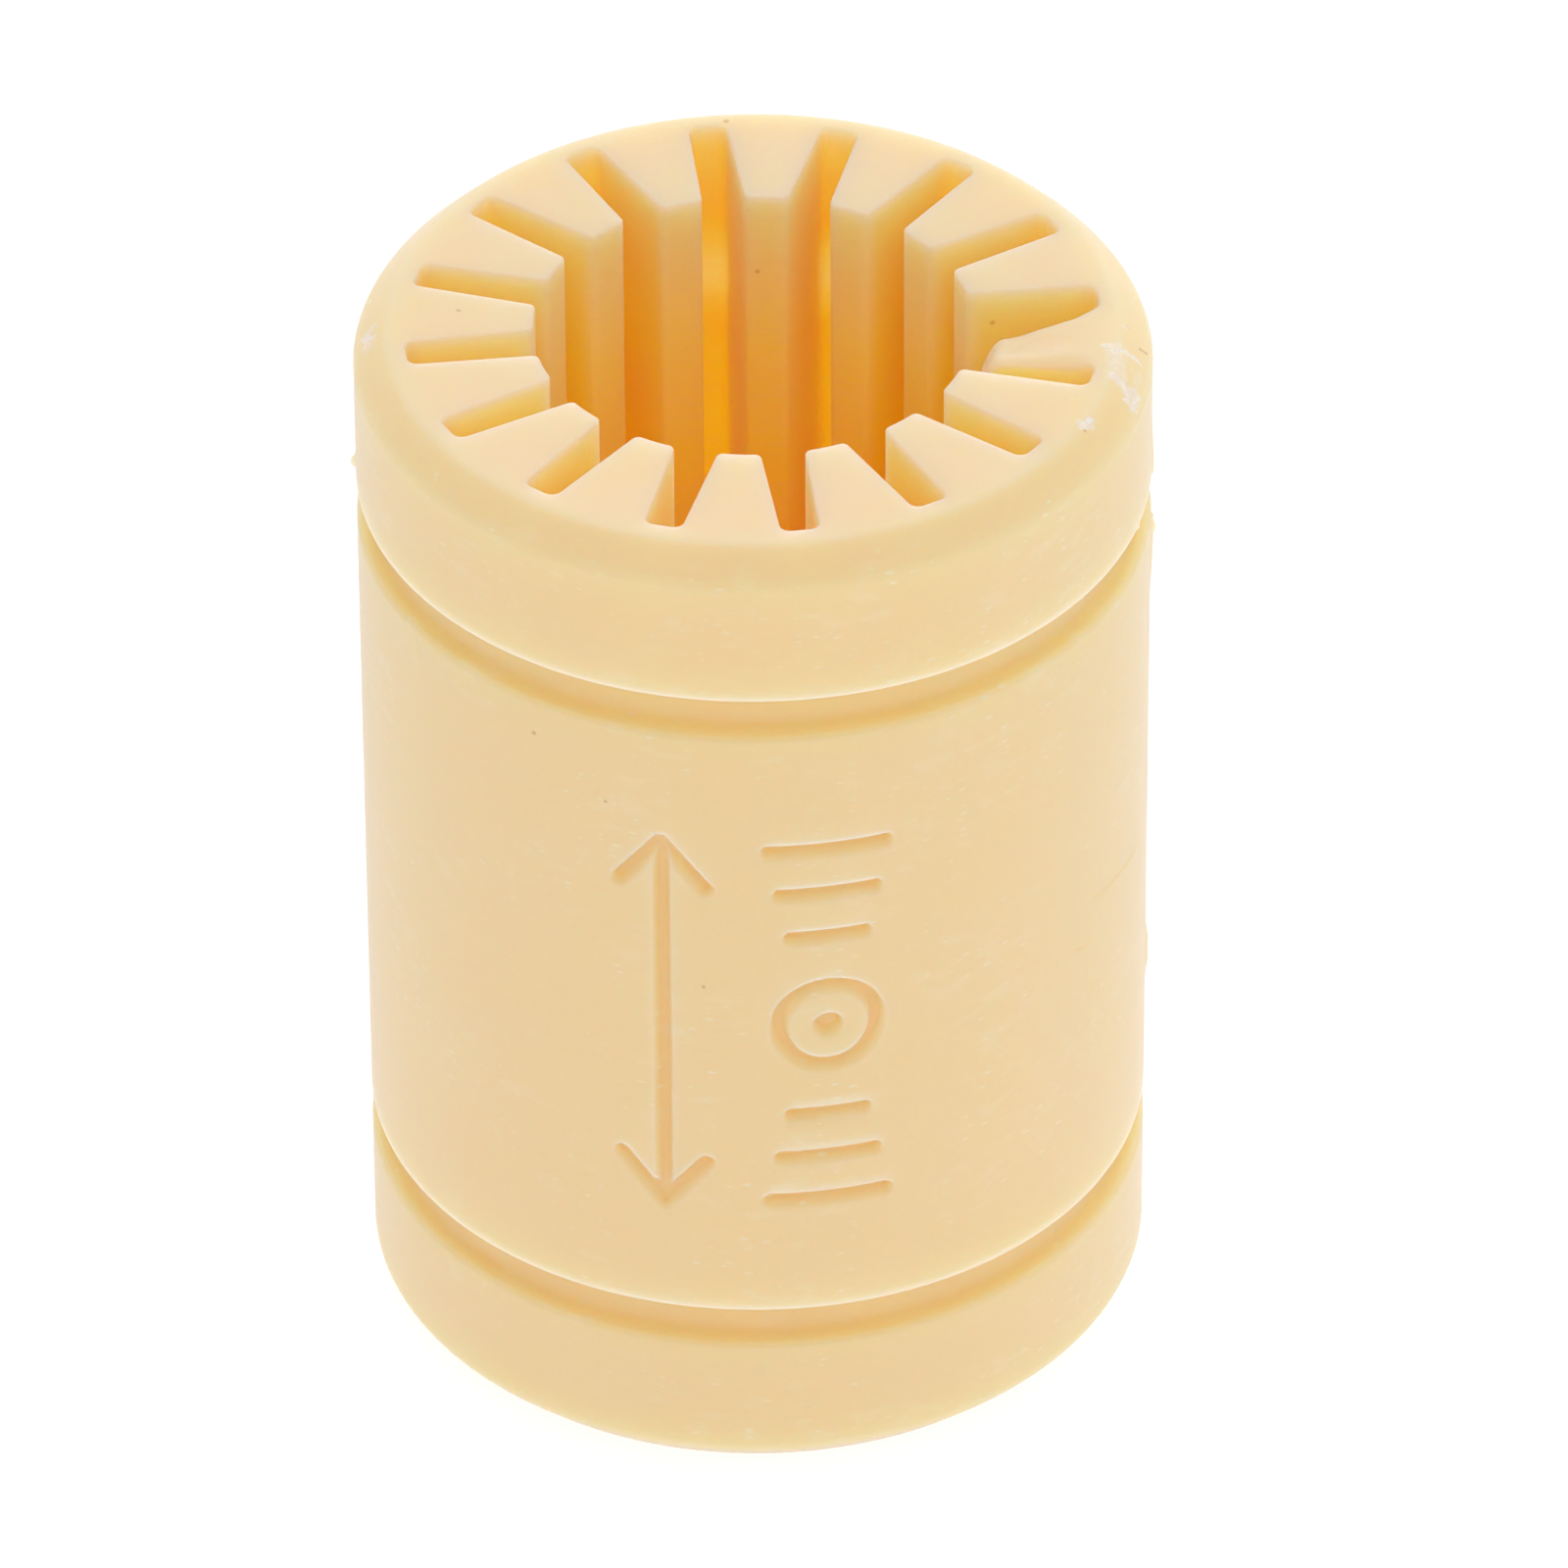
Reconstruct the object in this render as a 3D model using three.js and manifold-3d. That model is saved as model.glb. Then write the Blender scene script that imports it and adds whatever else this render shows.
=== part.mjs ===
// A one-piece plain linear bushing for a 12 mm shaft, moulded in polymer.
// Units are millimetres. +Z runs along the bore axis, and the origin is on
// that axis in the plane of the lower end face. The middle of one land faces -Y.

import * as THREE from 'three';
import { mergeVertices } from 'three/addons/utils/BufferGeometryUtils.js';
import Module from 'manifold-3d';

// Envelope
const length = 32;
const outerDiameter = 22;
const boreDiameter = 12.1;
const endChamfer = 0.9;

// Retaining-ring grooves, one near each end
const grooveWidth = 1.3;
const grooveDiameter = 21;
const grooveInset = 4.7;

// Lands that carry the shaft, with a full-length slot between each pair
const landCount = 16;
const slotWidthAtBore = 1.2;
const slotWidthAtFloor = 1.05;
const slotFloorRadius = 9.6;
const slotCornerRadius = 0.28;

// Sunk pictograms on the outside: a travel arrow, and a shaft sign between ticks
const markDepth = 0.25;
const markStroke = 0.45;
const markMiddleHeight = 16;
const arrowAngle = THREE.MathUtils.degToRad(-100);
const arrowHalfLength = 6.3;
const arrowHeadLength = 1.5;
const arrowHeadHalfWidth = 1.2;
const shaftSignAngle = THREE.MathUtils.degToRad(-76);
const shaftSignRadius = 1.6;
const shaftSignDotRadius = 0.4;
const tickHalfLengths = [1.0, 1.3, 1.6];
const firstTickHeight = 3.1;
const tickSpacing = 1.5;

// Facets
const turnFacets = 96;
const arcFacets = 2;
const markFacets = 8;
const cutterOverrun = 1;
const weldDistance = 1e-5;

const wasm = await Module();
wasm.setup();

function toSolid(geometry) {
  const bare = geometry.clone();
  bare.deleteAttribute('normal');
  bare.deleteAttribute('uv');
  const merged = mergeVertices(bare, weldDistance);
  const corners = merged.index.array;
  const triangles = [];
  for (let i = 0; i < corners.length; i += 3) {
    const [a, b, c] = corners.slice(i, i + 3);
    // A turned profile that meets the axis leaves triangles with two corners in one place.
    if (a !== b && b !== c && c !== a) triangles.push(a, b, c);
  }
  const mesh = new wasm.Mesh({
    numProp: 3,
    vertProperties: merged.attributes.position.array,
    triVerts: Uint32Array.from(triangles),
  });
  return new wasm.Manifold(mesh);
}

function toGeometry(solid) {
  const mesh = solid.getMesh();
  const geometry = new THREE.BufferGeometry();
  geometry.setAttribute('position', new THREE.BufferAttribute(mesh.vertProperties, 3));
  geometry.setIndex(new THREE.BufferAttribute(mesh.triVerts, 1));
  geometry.computeVertexNormals();
  return geometry;
}

// Joins a list of overlapping solids into one.
function joined(solids) {
  return solids.reduce((whole, solid) => whole.add(solid));
}

// Half of the outline that is turned about the axis: chamfered ends and two ring grooves.
function outerBody() {
  const radius = outerDiameter / 2;
  const grooveRadius = grooveDiameter / 2;
  const upper = length - grooveInset;
  const profile = [
    [0, 0],
    [radius - endChamfer, 0],
    [radius, endChamfer],
    [radius, grooveInset],
    [grooveRadius, grooveInset],
    [grooveRadius, grooveInset + grooveWidth],
    [radius, grooveInset + grooveWidth],
    [radius, upper - grooveWidth],
    [grooveRadius, upper - grooveWidth],
    [grooveRadius, upper],
    [radius, upper],
    [radius, length - endChamfer],
    [radius - endChamfer, length],
    [0, length],
  ];
  const points = profile.map(([r, z]) => new THREE.Vector2(r, z));
  const geometry = new THREE.LatheGeometry(points, turnFacets);
  return toSolid(geometry.rotateX(Math.PI / 2));
}

// A point on the outline of the bore, in a sector whose slot is centred on angle 0.
function sectorPoint(along, across, angle) {
  return new THREE.Vector2(along, across).rotateAround(new THREE.Vector2(), angle);
}

// The cross-section of the opening: the bore, with a round-cornered slot between the lands.
function boreOutline() {
  const boreRadius = boreDiameter / 2;
  const halfMouth = slotWidthAtBore / 2;
  const halfFloor = slotWidthAtFloor / 2;
  const mouthAngle = Math.asin(halfMouth / boreRadius);
  const mouthAlong = boreRadius * Math.cos(mouthAngle);
  const cornerAlong = slotFloorRadius - slotCornerRadius;
  const cornerAcross = halfFloor - slotCornerRadius;
  const sector = 2 * Math.PI / landCount;
  const shape = new THREE.Shape();
  for (let k = 0; k < landCount; k += 1) {
    const angle = (k + 0.5) * sector;
    const at = (along, across) => sectorPoint(along, across, angle);
    const lowerCorner = at(cornerAlong, -cornerAcross);
    const upperCorner = at(cornerAlong, cornerAcross);
    shape.absarc(0, 0, boreRadius, angle - sector + mouthAngle, angle - mouthAngle, false);
    shape.lineTo(...at(mouthAlong, -halfMouth));
    shape.absarc(...lowerCorner, slotCornerRadius, angle - Math.PI / 2, angle, false);
    shape.absarc(...upperCorner, slotCornerRadius, angle, angle + Math.PI / 2, false);
    shape.lineTo(...at(mouthAlong, halfMouth));
  }
  shape.closePath();
  return shape;
}

function boreCutter() {
  const geometry = new THREE.ExtrudeGeometry(boreOutline(), {
    depth: length + 2 * cutterOverrun,
    bevelEnabled: false,
    curveSegments: arcFacets,
  });
  return toSolid(geometry.translate(0, 0, -cutterOverrun));
}

// Stands a flat shape up against the outside at an angle, and runs it inwards through the skin.
// Its x goes round the body, and its y goes up.
function standingCutter(shape, angle) {
  const depth = 2 * cutterOverrun;
  const geometry = new THREE.ExtrudeGeometry(shape, {
    depth,
    bevelEnabled: false,
    curveSegments: markFacets,
  });
  const outward = new THREE.Vector3(Math.cos(angle), Math.sin(angle), 0);
  const round = new THREE.Vector3(-Math.sin(angle), Math.cos(angle), 0);
  const up = new THREE.Vector3(0, 0, 1);
  const place = outward.clone().multiplyScalar(outerDiameter / 2 - cutterOverrun);
  place.z = markMiddleHeight;
  const matrix = new THREE.Matrix4().makeBasis(round, up, outward).setPosition(place);
  return toSolid(geometry.applyMatrix4(matrix));
}

// A straight stroke of the marking width between two points.
function strokeShape(x0, y0, x1, y1) {
  const half = markStroke / 2;
  const direction = Math.atan2(y1 - y0, x1 - x0);
  const shape = new THREE.Shape();
  shape.absarc(x1, y1, half, direction - Math.PI / 2, direction + Math.PI / 2, false);
  shape.absarc(x0, y0, half, direction + Math.PI / 2, direction + 3 * Math.PI / 2, false);
  shape.closePath();
  return shape;
}

function ringShape(radius) {
  const shape = new THREE.Shape().absarc(0, 0, radius, 0, 2 * Math.PI, false);
  const hole = new THREE.Path().absarc(0, 0, radius - markStroke, 0, 2 * Math.PI, true);
  shape.holes.push(hole);
  return shape;
}

// An arrow along the axis with a head at each end.
function arrowShapes() {
  const shapes = [strokeShape(0, -arrowHalfLength, 0, arrowHalfLength)];
  const headFoot = arrowHalfLength - arrowHeadLength;
  for (const end of [-1, 1]) {
    for (const side of [-1, 1]) {
      shapes.push(strokeShape(0, end * arrowHalfLength, side * arrowHeadHalfWidth, end * headFoot));
    }
  }
  return shapes;
}

// A ring with a dot in it, and level ticks that grow longer away from it.
function shaftSignShapes() {
  const dot = new THREE.Shape().absarc(0, 0, shaftSignDotRadius, 0, 2 * Math.PI, false);
  const shapes = [ringShape(shaftSignRadius), dot];
  tickHalfLengths.forEach((half, k) => {
    const height = firstTickHeight + k * tickSpacing;
    shapes.push(strokeShape(-half, height, half, height));
    shapes.push(strokeShape(-half, -height, half, -height));
  });
  return shapes;
}

// All the marks, kept down to one even depth below the outside.
function markCutter() {
  const floorRadius = outerDiameter / 2 - markDepth;
  const core = new THREE.CylinderGeometry(floorRadius, floorRadius, length, turnFacets);
  core.rotateX(Math.PI / 2).translate(0, 0, length / 2);
  const arrow = joined(arrowShapes().map((shape) => standingCutter(shape, arrowAngle)));
  const shaftSign = joined(shaftSignShapes().map((shape) => standingCutter(shape, shaftSignAngle)));
  return arrow.add(shaftSign).subtract(toSolid(core));
}

function bushingSleeve() {
  const solid = outerBody().subtract(boreCutter()).subtract(markCutter());
  const polymer = new THREE.MeshStandardMaterial({
    color: '#ebcf9e',
    roughness: 0.45,
    metalness: 0,
  });
  const mesh = new THREE.Mesh(toGeometry(solid), polymer);
  mesh.name = 'bushing_sleeve';
  return mesh;
}

const group = new THREE.Group();
group.add(bushingSleeve());

export default group;
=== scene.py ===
"""Looks of a one-piece moulded polymer linear bushing, for Blender 4.5.

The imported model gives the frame. One fine mesh takes the place of its faceted sleeve. The mesh is
worked out in millimetres, and is scaled to metres as it becomes a Blender object.
"""

import math

import bmesh
import bpy
import numpy as np
from mathutils import Matrix, Vector, geometry, noise


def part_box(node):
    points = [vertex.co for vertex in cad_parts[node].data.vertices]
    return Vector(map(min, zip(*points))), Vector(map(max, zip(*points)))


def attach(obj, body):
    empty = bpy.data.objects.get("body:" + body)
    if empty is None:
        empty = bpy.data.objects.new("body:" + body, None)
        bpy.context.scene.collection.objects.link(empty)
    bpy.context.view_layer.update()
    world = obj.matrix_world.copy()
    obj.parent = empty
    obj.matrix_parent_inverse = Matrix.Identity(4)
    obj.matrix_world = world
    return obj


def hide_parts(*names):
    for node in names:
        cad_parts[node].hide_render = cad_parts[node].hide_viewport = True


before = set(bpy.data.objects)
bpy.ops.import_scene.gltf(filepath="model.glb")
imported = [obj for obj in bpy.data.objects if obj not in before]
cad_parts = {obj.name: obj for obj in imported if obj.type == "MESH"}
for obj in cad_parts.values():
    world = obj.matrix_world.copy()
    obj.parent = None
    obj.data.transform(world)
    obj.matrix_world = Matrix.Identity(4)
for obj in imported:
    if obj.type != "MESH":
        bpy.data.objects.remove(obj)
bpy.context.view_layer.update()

MM = 0.001
SLEEVE = "bushing_sleeve"

# Envelope, from the frame
sleeve_low, sleeve_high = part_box(SLEEVE)
LENGTH = (sleeve_high.z - sleeve_low.z) / MM
RADIUS = (sleeve_high.x - sleeve_low.x) / 2 / MM

# Outside: end chamfers and ring grooves
CHAMFER = 0.9
GROOVE_WIDTH = 1.3
GROOVE_RADIUS = 10.5
GROOVE_INSET = 4.7
GROOVE_LOWS = (GROOVE_INSET, LENGTH - GROOVE_INSET - GROOVE_WIDTH)
UPPER_GROOVE = LENGTH - GROOVE_INSET - GROOVE_WIDTH / 2

# Opening: lands, and the slots between them
LANDS = 16
BORE_RADIUS = 6.05
SLOT_FLOOR_RADIUS = 9.6
SLOT_MOUTH = 1.2
SLOT_FLOOR = 1.05

# Rounding of moulded edges
END_EDGE = 0.07
LAND_CORNER = 0.2
SLOT_CORNER = 0.28
CHAMFER_EDGE = 0.55
CRISP_LIP = 0.04
SOFT_LIP = 0.21
GROOVE_CORNER = 0.28

# Sunk pictograms
MARK_DEPTH = 0.25
MARK_STROKE = 0.45
MARK_STEEP_WALL = 0.07
MARK_STEEP_START = 0.03
MARK_GENTLE_WALL = 0.38
MARK_GENTLE_START = 0.14
MARK_LIP = 0.015
MARK_LIP_PLACE = 0.06
MARK_LIP_HALF_WIDTH = 0.08
MARK_LIP_FLAT = 0.02
MARK_HEIGHT = 16.0
ARROW_ANGLE = math.radians(-100)
ARROW_HALF = 6.3
ARROW_HEAD = 1.5
ARROW_HEAD_HALF_WIDTH = 1.2
SIGN_ANGLE = math.radians(-76)
SIGN_RADIUS = 1.6
SIGN_DOT = 0.4
TICK_HALVES = (1.0, 1.3, 1.6)
FIRST_TICK = 3.1
TICK_SPACING = 1.5

# The land at angle 0, whose upper end the mould didn't quite fill. It sags from one radius in to
# another, less so at its -Y side, is rounded at its sides and drops away at its tip.
SHORT_FROM = 9.7
SHORT_TO = 6.8
SHORT_SAG = 0.56
SHORT_WAVE = 0.1
SHORT_WAVE_LENGTH = 0.6
SHORT_LEAN = -0.3
SHORT_LEAN_ACROSS = (0.3, -1.3)
SHORT_ROUND = 0.25
SHORT_ROUND_ACROSS = (-0.95, -0.5)
SHORT_ROUND_ALONG = 1.0
SHORT_TIP_FROM = 6.95
SHORT_TIP_SAG = 1.9
SHORT_FADE = 5.0

# Torn gate scars and a chip on the upper end: how torn, half width, and a path of (x, y) from above
TORN = (
    (1, 0.24, ((9.84, -0.5), (10.05, -0.6))),
    (1, 0.13, ((10.05, -0.6), (10.35, -0.5), (10.6, -0.42))),
    (0.45, 0.34, ((10.0, -0.6), (10.06, -1.23), (10.15, -1.75))),
    (1, 0.2, ((9.98, -1.83), (10.25, -1.82))),
    (1, 0.28, ((10.36, -1.94), (10.6, -1.85))),
    (1, 0.16, ((10.55, -2.0), (10.6, -2.42))),
    (1, 0.12, ((10.36, -2.3), (10.42, -2.26))),
    (0.4, 0.16, ((10.68, -1.0), (10.61, -1.42))),
    (1, 0.1, ((10.2, 0.55), (10.2, 0.62))),
    (1, 0.15, ((-10.45, -0.2), (-10.66, -0.38), (-10.52, -0.75))),
    (0.5, 0.15, ((-10.52, -0.75), (-10.5, -1.1))),
    (1, 0.2, ((9.29, -4.1), (9.38, -3.85))),
)
TORN_SUNK = 0.07
TORN_RIDGE = 0.07
TORN_RIDGE_LENGTHS = (0.22, 0.09)
TORN_FINE_SHARE = 0.4
RAGGED = 0.1
RAGGED_LENGTHS = (0.3, 0.12)
SCAR_LOW = LENGTH - CHAMFER - 0.05
SCAR_HIGH = LENGTH - CHAMFER + 0.2

# Flash along the mould seam on the outside: angle, lower and upper height, and how far it stands out
FLASH = (
    (math.radians(0.5), 22.8, 29.6, 0.07),
    (math.radians(0.5), 25.2, 25.7, 0.08),
    (math.radians(1.5), 9.4, 11.6, 0.07),
    (math.radians(-176), 27.2, 27.7, 0.15),
)
FLASH_HALF_WIDTH = 0.16
FLASH_SLOPE = 0.35

# Fine scratches on the outside: half width, and a path of (degrees round, height)
SCRATCHES = (
    (0.1, ((-27.9, 16.4), (-24.4, 16.3), (-20.3, 16.2), (-16.3, 16.1), (-9.8, 15.9))),
    (0.09, ((-32.8, 15.2), (-31.3, 15.1), (-30, 15))),
    (0.09, ((-28.5, 13.3), (-26.8, 13.4))),
)
SCRATCH_DEPTH = 0.03

# A web of flash across the floor of the upper groove
WEB_ANGLE = math.radians(-6.5)
WEB_HALF_WIDTH = 0.25
WEB_HEIGHT = 0.3
WEB_ALONG = (0.2, 0.48)

# Painted shade at the ring grooves' lower lips: how far the grooves' painted shade blends over
# them, and how far below them the marks' painted shade reaches, and how strongly
GROOVE_BLEND = 0.1
FOOT_SHADE_REACH = 0.8
FOOT_SHADE_SHARE = 0.6

# Mesh steps
COLUMNS = 240
ROW = 0.3
WALL_STEP = 0.5
FIRST_DROP = 0.25
LAST_DROP = 3.0
DROP_GROWTH = 1.25
FACE_RING = 0.3
FACE_GRID = 0.4
FACE_CLEAR = FACE_GRID * 0.6
LAND_CUTS = 2
FINE_CUTS = 5
FINE_MARGIN = 0.2
WELD = 1e-5


# ---------- outlines ----------


def corner_arc(before, corner, after, radius, steps):
    """Points of the arc that rounds off one corner of an outline."""
    back = (before - corner).normalized()
    on = (after - corner).normalized()
    half = back.angle(on) / 2
    start = corner + back * (radius / math.tan(half))
    centre = corner + (back + on).normalized() * (radius / math.sin(half))
    turn = math.pi - 2 * half
    if back.x * on.y - back.y * on.x > 0:
        turn = -turn
    spoke = start - centre
    return [centre + Matrix.Rotation(turn * i / steps, 2) @ spoke for i in range(steps + 1)]


def rounded(corners, closed, steps=5):
    """An outline through (x, y, radius) corners, with each corner rounded by its radius."""
    places = [Vector((x, y)) for x, y, _ in corners]
    count = len(places)
    outline = []
    for i, (_, _, radius) in enumerate(corners):
        ends_here = not closed and i in (0, count - 1)
        if radius == 0 or ends_here:
            outline.append(places[i])
        else:
            outline += corner_arc(places[i - 1], places[i], places[(i + 1) % count], radius, steps)
    return outline


def filled_in(outline, step, closed):
    """The outline with points added so that no stretch is longer than step."""
    ends = outline[1:] + outline[:1] if closed else outline[1:]
    points = []
    for start, end in zip(outline, ends):
        parts = max(1, math.ceil((end - start).length / step - WELD))
        points += [start.lerp(end, i / parts) for i in range(parts)]
    if not closed:
        points.append(outline[-1])
    return points


def opening_outline():
    """The cross-section of the opening, anticlockwise: land tips and round-cornered slots."""
    sector = 2 * math.pi / LANDS
    half_mouth = SLOT_MOUTH / 2
    half_floor = SLOT_FLOOR / 2
    mouth_angle = math.asin(half_mouth / BORE_RADIUS)
    mouth_along = BORE_RADIUS * math.cos(mouth_angle)
    floor_along = math.sqrt(SLOT_FLOOR_RADIUS**2 - half_floor**2)
    slot = (
        (mouth_along, -half_mouth, LAND_CORNER),
        (floor_along, -half_floor, SLOT_CORNER),
        (floor_along, half_floor, SLOT_CORNER),
        (mouth_along, half_mouth, LAND_CORNER),
    )
    tip_steps = 6
    tip_angle = sector - 2 * mouth_angle
    corners = []
    for k in range(LANDS):
        angle = (k + 0.5) * sector
        turn = Matrix.Rotation(angle, 2)
        for along, across, radius in slot:
            corners.append((*(turn @ Vector((along, across))), radius))
        for i in range(2, tip_steps - 1):
            at = angle + mouth_angle + tip_angle * i / tip_steps
            corners.append((BORE_RADIUS * math.cos(at), BORE_RADIUS * math.sin(at), 0))
    return filled_in(rounded(corners, closed=True), WALL_STEP, closed=True)


def grown(outline, distance):
    """A closed anticlockwise outline moved outwards by a distance."""
    moved = []
    for i, here in enumerate(outline):
        before = (here - outline[i - 1]).normalized()
        after = (outline[(i + 1) % len(outline)] - here).normalized()
        normal = Vector((before.y + after.y, -before.x - after.x)).normalized()
        miter = max(0.5, normal.dot(Vector((after.y, -after.x))))
        moved.append(here + normal * (distance / miter))
    return moved


def outside_profile():
    """(radius, height) of the outside from the upper end face down to the lower one."""
    edge = RADIUS - CHAMFER
    upper = LENGTH - GROOVE_INSET
    corners = (
        (edge - FACE_RING, LENGTH, 0),
        (edge, LENGTH, CHAMFER_EDGE),
        (RADIUS, LENGTH - CHAMFER, CHAMFER_EDGE),
        (RADIUS, upper, CRISP_LIP),
        (GROOVE_RADIUS, upper, GROOVE_CORNER),
        (GROOVE_RADIUS, upper - GROOVE_WIDTH, GROOVE_CORNER),
        (RADIUS, upper - GROOVE_WIDTH, SOFT_LIP),
        (RADIUS, GROOVE_INSET + GROOVE_WIDTH, CRISP_LIP),
        (GROOVE_RADIUS, GROOVE_INSET + GROOVE_WIDTH, GROOVE_CORNER),
        (GROOVE_RADIUS, GROOVE_INSET, GROOVE_CORNER),
        (RADIUS, GROOVE_INSET, SOFT_LIP),
        (RADIUS, CHAMFER, CHAMFER_EDGE),
        (edge, 0, CHAMFER_EDGE),
        (edge - FACE_RING, 0, 0),
    )
    return filled_in(rounded(corners, closed=False), ROW, closed=False)[1:-1]


# ---------- mesh patches ----------


def skin(bm, loops):
    """Quads between each loop of places and the next."""
    rows = [[bm.verts.new(place) for place in loop] for loop in loops]
    for above, below in zip(rows, rows[1:]):
        for i in range(len(above)):
            j = (i + 1) % len(above)
            bm.faces.new((above[i], above[j], below[j], below[i]))


def outside_skin(bm, profile):
    angles = [2 * math.pi * i / COLUMNS for i in range(COLUMNS)]
    skin(bm, [[(r * math.cos(a), r * math.sin(a), z) for a in angles] for r, z in profile])


def opening_skin(bm, outline):
    """The walls of the opening, rounded into both end faces and with finer steps near them."""
    loops = []
    edge_steps = 4
    for i in range(edge_steps + 1):
        turn = math.pi / 2 * i / edge_steps
        out = END_EDGE * (1 - math.sin(turn))
        down = END_EDGE * (1 - math.cos(turn))
        loops.append((out, LENGTH - down))
    drop = END_EDGE
    step = FIRST_DROP
    while drop + step < LENGTH / 2:
        drop += step
        loops.append((0, LENGTH - drop))
        step = min(LAST_DROP, step * DROP_GROWTH)
    loops += [(out, LENGTH - height) for out, height in reversed(loops)]
    skin(bm, [[(*place, z) for place in grown(outline, out)] for out, z in loops])


def inside(places, outline):
    """For each place, whether it is inside a closed outline."""
    x, y = places[:, 0, None], places[:, 1, None]
    start = np.array([tuple(p) for p in outline])
    end = np.roll(start, -1, axis=0)
    crosses = (start[:, 1] > y) != (end[:, 1] > y)
    rise = np.where(end[:, 1] == start[:, 1], 1, end[:, 1] - start[:, 1])
    at = start[:, 0] + (y - start[:, 1]) / rise * (end[:, 0] - start[:, 0])
    return (crosses & (x < at)).sum(axis=1) % 2 == 1


def face_grid(outer_radius, outline):
    """Evenly spread places on an end face, clear of its edges."""
    reach = int(outer_radius / FACE_GRID) + 1
    places = []
    for row in range(-reach, reach + 1):
        for column in range(-reach, reach + 1):
            x = (column + 0.5 * (row % 2)) * FACE_GRID
            y = row * FACE_GRID * math.sqrt(3) / 2
            if math.hypot(x, y) < outer_radius - FACE_CLEAR:
                places.append((x, y))
    places = np.array(places)
    return places[~inside(places, grown(outline, END_EDGE + FACE_CLEAR))]


def end_faces(bm, outer_radius, outline):
    """The flat ring round the opening, at both ends."""
    rim = grown(outline, END_EDGE)
    angles = [2 * math.pi * i / COLUMNS for i in range(COLUMNS)]
    circle = [Vector((outer_radius * math.cos(a), outer_radius * math.sin(a))) for a in angles]
    places = circle + rim + [Vector(p) for p in face_grid(outer_radius, outline)]
    edges = [(i, (i + 1) % COLUMNS) for i in range(COLUMNS)]
    edges += [(COLUMNS + i, COLUMNS + (i + 1) % len(rim)) for i in range(len(rim))]
    corners, _, triangles, *_ = geometry.delaunay_2d_cdt(places, edges, [], 0, WELD)
    flat = np.array([tuple(c) for c in corners])
    middles = np.array([flat[list(t)].mean(axis=0) for t in triangles])
    kept = ~inside(middles, rim)
    for z in (LENGTH, 0):
        verts = [bm.verts.new((*c, z)) for c in corners]
        for triangle, keep in zip(triangles, kept):
            if keep:
                bm.faces.new([verts[i] for i in triangle])


# ---------- relief ----------


def smooth(low, high, value):
    """0 at low, 1 at high, and smooth between. Low may be the larger of the two."""
    t = np.clip((value - low) / (high - low), 0, 1)
    return t * t * (3 - 2 * t)


def to_segment(u, v, start, end):
    """Distance from points (u, v) to a segment."""
    du, dv = end[0] - start[0], end[1] - start[1]
    t = np.clip(((u - start[0]) * du + (v - start[1]) * dv) / (du * du + dv * dv), 0, 1)
    return np.hypot(u - start[0] - t * du, v - start[1] - t * dv)


def to_path(u, v, path):
    """Distance from points (u, v) to a path of straight pieces."""
    return np.min([to_segment(u, v, *ends) for ends in zip(path, path[1:])], axis=0)


def arrow_distance(u, v):
    """Distance outside the arrow's strokes, negative inside them."""
    foot = ARROW_HALF - ARROW_HEAD
    away = to_segment(u, v, (0, -ARROW_HALF), (0, ARROW_HALF))
    for end in (-1, 1):
        head = [(side * ARROW_HEAD_HALF_WIDTH, end * foot) for side in (-1, 1)]
        head.insert(1, (0, end * ARROW_HALF))
        away = np.minimum(away, to_path(u, v, head))
    return away - MARK_STROKE / 2


def sign_distance(u, v):
    """Distance outside the shaft sign and its ticks, negative inside them."""
    half = MARK_STROKE / 2
    from_middle = np.hypot(u, v)
    away = np.minimum(np.abs(from_middle - SIGN_RADIUS + half) - half, from_middle - SIGN_DOT)
    for k, tick in enumerate(TICK_HALVES):
        height = FIRST_TICK + k * TICK_SPACING
        for side in (-1, 1):
            ends = (-tick, side * height), (tick, side * height)
            away = np.minimum(away, to_segment(u, v, *ends) - half)
    return away


def polar(places):
    return np.hypot(places[:, 0], places[:, 1]), np.arctan2(places[:, 1], places[:, 0])


def mark_distance(places, raised=0.0):
    """Distance outside the nearest sunk stroke, for places on the outside raised by so much."""
    _, angle = polar(places)
    v = places[:, 2] - MARK_HEIGHT + raised
    arrow = arrow_distance(RADIUS * (angle - ARROW_ANGLE), v)
    sign = sign_distance(RADIUS * (angle - SIGN_ANGLE), v)
    return np.minimum(arrow, sign)


def above_mark(places):
    """1 next to the upper edge of a stroke, -1 next to a lower edge, and 0 beside an upright edge."""
    step = 0.04
    return (mark_distance(places, step) - mark_distance(places, -step)) / (2 * step)


def mark_depth(places):
    """How deep the marks are sunk, from 0 to 1: steeply under upper edges, gently over lower ones."""
    above = above_mark(places)
    lower_to_upper = (-0.7, 0.5)
    wall = np.interp(above, lower_to_upper, (MARK_GENTLE_WALL, MARK_STEEP_WALL))
    start = np.interp(above, lower_to_upper, (MARK_GENTLE_START, MARK_STEEP_START))
    return 1 - smooth(start - wall, start, mark_distance(places))


def mark_lip(places):
    """A fine raised lip along the upper edges of the strokes, from 0 to 1."""
    off = np.abs(mark_distance(places) - MARK_LIP_PLACE)
    beside = 1 - smooth(MARK_LIP_FLAT, MARK_LIP_HALF_WIDTH, off)
    return beside * smooth(0.3, 0.8, above_mark(places))


def to_scratch(places, path):
    """Distance from places on the outside to the middle of a scratch."""
    _, angle = polar(places)
    track = [(RADIUS * math.radians(degrees), z) for degrees, z in path]
    return to_path(RADIUS * angle, places[:, 2], track)


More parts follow.
